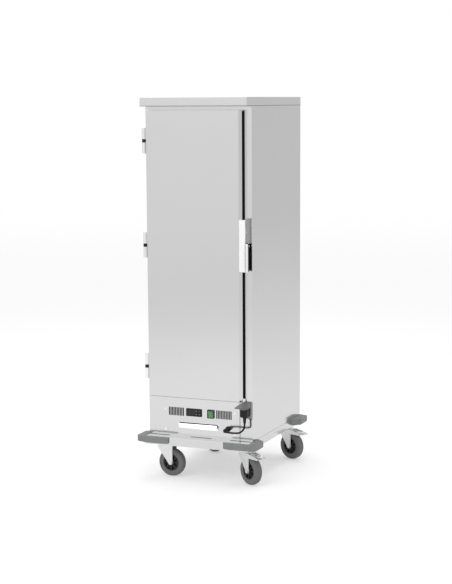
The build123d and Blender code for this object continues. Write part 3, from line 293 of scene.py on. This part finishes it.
# Which finish each slot of the record shows, and the pieces that differ from their slot
slotFinishes = {
    "stainless": "stainless", "inner_steel": "innerSteel", "zinc_steel": "zincPlate",
    "polished_metal": "polished", "bumper_grey": "bumperGrey", "grey_plastic": "greyPlastic",
    "black_plastic": "blackPlastic", "dark_plastic": "glossBlack", "green_plastic": "rockerGreen",
    "display_lens": "darkWindow", "key_plastic": "keyBlack", "seal_rubber": "sealRubber",
    "tyre_rubber": "tyreRubber", "hub_plastic": "hubBlack", "fibre_fill": "fibreFill",
    "heater_sheath": "heaterTube", "cord_jacket": "cordRubber", "white_plastic": "whitePlastic",
}
pieceFinishes = {
    "chassis": "frameSteel", "left_panel": "sideSteel", "right_panel": "sideSteel", "top_cap": "capSteel",
    "water_drawer": "shadedDrawerSteel", "hinge_lower_leaves": "polished", "hinge_upper_leaves": "polished",
    "socket_flap": "flapGrey", "lever_grip": "sealRubber",
}
nodeSlots = {part["node"]: part["material_slot"] for part in frame["record"]["subparts"]}
nodeBodies = {node: body for body, members in frame["record"]["behaviour"]["bodies"].items()
              for node in members}


def dress(piece, finish):
    piece.data.materials.clear()
    piece.data.materials.append(paints[finish])


def nodeFinish(name):
    return pieceFinishes.get(name, slotFinishes[nodeSlots[name]])


for name, node in nodes.items():
    dress(node, nodeFinish(name))


def addPiece(name, mesh, like, finish=None, replaced=()):
    # like is the CAD node whose body the piece rides on and whose slot it takes
    piece = bpy.data.objects.new(name, mesh)
    bpy.context.scene.collection.objects.link(piece)
    dress(piece, finish or nodeFinish(like))
    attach(piece, nodeBodies[like])
    if replaced:
        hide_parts(*replaced)
    return piece


def closeMesh(bm, name):
    mesh = bpy.data.meshes.new(name)
    bm.to_mesh(mesh)
    bm.free()
    return mesh


def shadeSmooth(bm, sharpAngle):
    for face in bm.faces:
        face.smooth = True
    for edge in bm.edges:
        edge.smooth = edge.is_manifold and edge.calc_face_angle() < math.radians(sharpAngle)


# Pieces whose edges are eased, as folded sheet and mouldings are, with each rounding in mm
easedEdges = {
    "top_cap": 0.5, "door_shell": 0.55, "corner_bumpers": 1.6, "latch_body": 0.8, "latch_lever": 0.9,
    "lever_grip": 1.5, "latch_keeper": 0.7, "socket_housing": 1.2, "socket_flap": 0.8, "plug": 1.6,
    "thermostat": 0.5, "switch_frame": 0.7, "rocker": 0.5, "water_drawer": 0.2, "hinge_lower_leaves": 0.5,
    "hinge_upper_leaves": 0.5, "hinge_bushings": 0.4, "door_gasket": 1.2, "caster_plates": 0.5,
    "cord_gland": 0.4, "fan_frame": 0.8, "fan_impeller": 0.4, "air_cover": 0.4,
}
forkEase, pedalEase, keyEase, hubEase = 0.7, 0.8, 0.35, 0.5
for name, joint in joints.items():
    if name.startswith("swivel"):
        easedEdges[joint["child"]] = forkEase
    if name.startswith("brake"):
        easedEdges[joint["child"]] = pedalEase
    if name.endswith("press"):
        easedEdges[joint["child"]] = keyEase
    if name.startswith("roll"):
        easedEdges[joint["child"].replace("wheel", "hub")] = hubEase
easing = {"segments": 2, "profile": 0.5, "sharpAngle": 28, "flatAngle": 0.6, "smoothAngle": 50,
          "weld": 0.00001}


def easeEdges(name, width):
    bm = bmesh.new()
    bm.from_mesh(nodes[name].data)
    bmesh.ops.remove_doubles(bm, verts=bm.verts, dist=easing["weld"])
    bmesh.ops.dissolve_limit(bm, angle_limit=math.radians(easing["flatAngle"]), verts=bm.verts,
                             edges=bm.edges)
    corners = [edge for edge in bm.edges
               if edge.is_manifold and edge.calc_face_angle() > math.radians(easing["sharpAngle"])]
    bmesh.ops.bevel(bm, geom=corners, offset=width * mm, offset_type="OFFSET", segments=easing["segments"],
                    profile=easing["profile"], affect="EDGES", clamp_overlap=True)
    bmesh.ops.recalc_face_normals(bm, faces=bm.faces)
    shadeSmooth(bm, easing["smoothAngle"])
    piece = addPiece(f"eased_{name}", closeMesh(bm, f"eased_{name}"), name, replaced=(name,))
    weighted = piece.modifiers.new("weighted", "WEIGHTED_NORMAL")
    weighted.keep_sharp = True
    return piece


eased = {name: easeEdges(name, width) for name, width in easedEdges.items()}
print("eased pieces:", len(eased))

latheSmoothAngle = 40


def latheMesh(name, centre, axis, profile, steps, closed=False):
    # profile holds (distance along the axis, radius) pairs in metres
    along = Vector(axis).normalized()
    across = along.orthogonal().normalized()
    over = along.cross(across)
    bm = bmesh.new()
    rings = []
    for reach, radius in profile:
        ring = []
        for step in range(steps):
            turn = 2 * math.pi * step / steps
            ring.append(bm.verts.new(centre + along * reach
                                     + (across * math.cos(turn) + over * math.sin(turn)) * radius))
        rings.append(ring)
    pairs = list(zip(rings, rings[1:])) + ([(rings[-1], rings[0])] if closed else [])
    for first, second in pairs:
        for step in range(steps):
            after = (step + 1) % steps
            bm.faces.new((first[step], first[after], second[after], second[step]))
    if not closed:
        bm.faces.new(rings[0])
        bm.faces.new(rings[-1])
    bmesh.ops.recalc_face_normals(bm, faces=bm.faces)
    shadeSmooth(bm, latheSmoothAngle)
    return closeMesh(bm, name)


# Tyres, with round shoulders and a low crown
tyre = {"radius": 62.5, "seat": 38, "halfWidth": 16.5, "shoulder": 8, "crown": 1.4, "bead": 1.2,
        "crownTurn": (0.5, 0.25), "steps": 96, "arcSteps": 7}


def tyreProfile():
    seat, half, shoulder = tyre["seat"], tyre["halfWidth"], tyre["shoulder"]
    side = [(half - tyre["bead"], seat), (half, seat + tyre["bead"])]
    for step in range(tyre["arcSteps"] + 1):
        turn = math.pi / 2 * step / tyre["arcSteps"]
        side.append((half - shoulder * (1 - math.cos(turn)),
                     tyre["radius"] - tyre["crown"] - shoulder * (1 - math.sin(turn))))
    acrossShare, dropShare = tyre["crownTurn"]
    side.append(((half - shoulder) * acrossShare, tyre["radius"] - tyre["crown"] * dropShare))
    side.append((0, tyre["radius"]))
    other = [(-reach, radius) for reach, radius in reversed(side[:-1])]
    return [(reach * mm, radius * mm) for reach, radius in side + other]


for name, joint in joints.items():
    if name.startswith("roll"):
        node = joint["child"].replace("wheel", "tyre")
        mesh = latheMesh(f"round_{node}", Vector(joint["pos_m"]), joint["axis"], tyreProfile(),
                         tyre["steps"], closed=True)
        addPiece(f"round_{node}", mesh, node, replaced=(node,))
print("tyres turned")

# Panel screws: a domed head with a low cross on it
screw = {"radius": 4.2, "height": 2.0, "rimShare": 0.35, "crossLength": 3.6, "crossWidth": 0.9,
         "crossDepth": 0.8, "crossShare": 0.78, "steps": 32, "arcSteps": 8}


def makeScrews():
    low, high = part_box("panel_screws")
    radius, height, rim = screw["radius"] * mm, screw["height"] * mm, screw["rimShare"]
    bm = bmesh.new()
    for x in (low.x + radius, high.x - radius):
        for z in (low.z + radius, high.z - radius):
            centre = Vector((x, frontY, z))
            profile = [(0, radius), (height * rim, radius)]
            profile += [(height * (rim + (1 - rim) * math.sin(turn)), radius * math.cos(turn))
                        for turn in (math.pi / 2 * step / screw["arcSteps"]
                                     for step in range(1, screw["arcSteps"]))]
            bm.from_mesh(latheMesh("head", centre, (0, -1, 0), profile, screw["steps"]))
            for wide, tall in (("crossLength", "crossWidth"), ("crossWidth", "crossLength")):
                size = Matrix.Diagonal((screw[wide] * mm, screw["crossDepth"] * mm, screw[tall] * mm, 1))
                bmesh.ops.create_cube(bm, size=1, matrix=Matrix.Translation(
                    centre - Vector((0, height * screw["crossShare"], 0))) @ size)
    addPiece("domed_screws", closeMesh(bm, "domed_screws"), "panel_screws", replaced=("panel_screws",))


makeScrews()
print("screws set")

# The mains cord: one smooth line from the gland to the plug
cordLine = {"radius": 4.0, "ringSteps": 8, "resolution": 12, "order": 3}
cordRoute = [(0.131, -0.040, 0.239), (0.131, -0.049, 0.239), (0.1375, -0.0575, 0.239),
             (0.152, -0.0605, 0.2388), (0.171, -0.0605, 0.238), (0.190, -0.0595, 0.2378),
             (0.208, -0.055, 0.240), (0.219, -0.0445, 0.250), (0.222, -0.035, 0.264), (0.222, -0.035, 0.279)]


def makeCord():
    data = bpy.data.curves.new("mains_cord", "CURVE")
    data.dimensions = "3D"
    data.bevel_depth = cordLine["radius"] * mm
    data.bevel_resolution = cordLine["ringSteps"]
    data.resolution_u = cordLine["resolution"]
    data.use_fill_caps = True
    spline = data.splines.new("NURBS")
    spline.points.add(len(cordRoute) - 1)
    for point, spot in zip(spline.points, cordRoute):
        point.co = (*place(*spot), 1)
    spline.order_u = cordLine["order"]
    spline.use_endpoint_u = True
    piece = bpy.data.objects.new("mains_cord", data)
    bpy.context.scene.collection.objects.link(piece)
    dress(piece, "cordRubber")
    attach(piece, "cabinet")
    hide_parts("cord")
    tuple(place(*cordRoute[0]))


makeCord()
print("cord laid")

# Ribs on the two strain reliefs
ribs = {"count": 6, "startShare": 0.7, "spareShare": 0.4, "proud": 0.7, "width": 2.2, "crestShare": 0.6,
        "rootShare": 0.97, "steps": 40}
ribbedNecks = {
    "gland_ribs": {"start": (0.131, -0.004, 0.239), "direction": (0, -1, 0), "length": 36,
                   "radii": (8.6, 7.4), "like": "cord_gland"},
    "plug_neck_ribs": {"start": (0.222, -0.035, 0.305), "direction": (0, 0, -1), "length": 26,
                       "radii": (7.2, 5.6), "like": "plug"},
}


def makeRibs(name, neck):
    bm = bmesh.new()
    startRadius, endRadius = neck["radii"]
    half = ribs["width"] * mm / 2
    crest = half * ribs["crestShare"]
    for rib in range(ribs["count"]):
        share = (rib + ribs["startShare"]) / (ribs["count"] + ribs["spareShare"])
        radius = (startRadius + (endRadius - startRadius) * share) * mm
        middle = neck["length"] * mm * share
        root, top = radius * ribs["rootShare"], radius + ribs["proud"] * mm
        profile = [(middle - half, root), (middle - crest, top),
                   (middle + crest, top), (middle + half, root)]
        bm.from_mesh(latheMesh(name, place(*neck["start"]), neck["direction"], profile, ribs["steps"]))
    addPiece(name, closeMesh(bm, name), neck["like"])


for name, neck in ribbedNecks.items():
    makeRibs(name, neck)
print("ribs added")

# Marks on the keys, as thin raised plates with outlines in mm
mark = {"sunk": 0.02, "thickness": 0.12, "dotRadius": 1.1, "dotSteps": 16}
keyMarks = {
    "key_upper_left": [(-1.7, -1.0), (1.7, -1.0), (0, 1.7)],
    "key_lower_left": [(-1.7, 1.0), (1.7, 1.0), (0, -1.7)],
    "key_upper_right": [(-1.3, -0.5), (1.3, -0.5), (1.3, 0.5), (-1.3, 0.5)],
    "key_lower_right": [(math.cos(turn) * mark["dotRadius"], math.sin(turn) * mark["dotRadius"])
                        for turn in (2 * math.pi * step / mark["dotSteps"]
                                     for step in range(mark["dotSteps"]))],
}


def makeMark(key, outline):
    low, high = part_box(key)
    centre = Vector(((low.x + high.x) / 2, low.y + mark["sunk"] * mm, (low.z + high.z) / 2))
    bm = bmesh.new()
    face = bm.faces.new([bm.verts.new(centre + Vector((x, 0, z)) * mm) for x, z in outline])
    raised = bmesh.ops.extrude_face_region(bm, geom=[face])
    moved = [item for item in raised["geom"] if isinstance(item, bmesh.types.BMVert)]
    bmesh.ops.translate(bm, verts=moved, vec=Vector((0, -mark["thickness"], 0)) * mm)
    bmesh.ops.recalc_face_normals(bm, faces=bm.faces)
    addPiece(f"mark_{key}", closeMesh(bm, f"mark_{key}"), key, "whiteMark")


for key, outline in keyMarks.items():
    makeMark(key, outline)
print("marks made")

# Floor, world and lamps
studio = {
    "floorSize": 60, "floorWhite": 0.86, "nearReach": 1.2, "farReach": 16, "worldLight": 0.78,
    "shadowLift": 0.26, "liftWhite": 1.6, "mirrorLift": 0.33,
    "glow": 0.65, "glowAhead": 0.1, "glowAxis": 0.12, "aheadSide": 0.385, "aheadFront": 0.923,
    "glowAbove": 0.34, "aboveStart": 0.25, "aboveEnd": 0.75,
    "lampSize": 3.0, "lampAim": (0, 0, 0.7), "lampPower": 60, "lampSpot": (-0.3, 0.9, 4.6),
    "fillPower": 42, "fillSpot": (-0.6, -3.4, 3.2),
}


def seenWhite(paint, dim):
    # white to the camera, and the given brightness to every other ray
    seen = paint.wire("ShaderNodeLightPath", output="Is Camera Ray")
    return seen + (1 - seen) * dim


def swingGlow(paint, heading):
    # how bright the distance looks: more to the front left, least at the sides, and more above
    apart = paint.node("ShaderNodeSeparateXYZ", None, {0: heading})
    side, front, height = (Wire(paint, apart.outputs[axis]) for axis in "XYZ")
    ahead = 0 - side * studio["aheadSide"] - front * studio["aheadFront"]
    above = paint.smoothRise(height, studio["aboveStart"], studio["aboveEnd"])
    level = studio["glow"] + ahead * studio["glowAhead"] + ahead * ahead * studio["glowAxis"]
    return level + above * studio["glowAbove"]


def makeFloor():
    bpy.ops.mesh.primitive_plane_add(size=studio["floorSize"])
    floor = bpy.context.object
    floor.name = "floor"
    paint = Paint("floorPaint")
    spot = paint.wire("ShaderNodeNewGeometry", output="Position")
    away = paint.wire("ShaderNodeVectorMath", {"operation": "LENGTH"}, {0: spot}, output="Value")
    far = paint.smoothRise(away, studio["nearReach"], studio["farReach"])
    heading = paint.wire("ShaderNodeVectorMath", {"operation": "NORMALIZE"}, {0: spot})
    glow = seenWhite(paint, swingGlow(paint, heading))
    near = paint.wire("ShaderNodeBsdfDiffuse", None, {"Color": grey(studio["floorWhite"])})
    distant = paint.wire("ShaderNodeEmission", None, {"Strength": glow})
    seen = paint.wire("ShaderNodeLightPath", output="Is Camera Ray")
    mirrored = paint.wire("ShaderNodeLightPath", output="Is Glossy Ray")
    white = paint.wire("ShaderNodeEmission", None, {"Strength": 1 + seen * (studio["liftWhite"] - 1)})
    lift = seen * studio["shadowLift"] + mirrored * studio["mirrorLift"]
    lifted = paint.wire("ShaderNodeMixShader", None, {0: lift, 1: near, 2: white})
    mixed = paint.wire("ShaderNodeMixShader", None, {0: far, 1: lifted, 2: distant})
    paint.node("ShaderNodeOutputMaterial", None, {"Surface": mixed})
    floor.data.materials.append(paint.material)


def makeWorld():
    world = bpy.data.worlds.new("studio")
    bpy.context.scene.world = world
    world.use_nodes = True
    paint = Paint("studio", world.node_tree)
    heading = paint.wire("ShaderNodeTexCoord", output="Generated")
    mirrored, seen, clear = (paint.wire("ShaderNodeLightPath", output=f"Is {ray} Ray")
                             for ray in ("Glossy", "Camera", "Transmission"))
    plain = 1 - mirrored - seen - clear
    strength = plain * studio["worldLight"] + (1 - plain) * seenWhite(paint, swingGlow(paint, heading))
    shade = paint.wire("ShaderNodeBackground", None, {"Color": grey(1), "Strength": strength})
    paint.node("ShaderNodeOutputWorld", None, {"Surface": shade})


def makeLamp(name, spot, power):
    data = bpy.data.lights.new(name, "AREA")
    data.energy = power
    data.size = studio["lampSize"]
    lamp = bpy.data.objects.new(name, data)
    bpy.context.scene.collection.objects.link(lamp)
    lamp.location = spot
    aim = Vector(studio["lampAim"]) - Vector(spot)
    lamp.rotation_euler = aim.to_track_quat("-Z", "Y").to_euler()


makeFloor()
makeWorld()
makeLamp("softKey", studio["lampSpot"], studio["lampPower"])
makeLamp("softFill", studio["fillSpot"], studio["fillPower"])
print("studio lit")
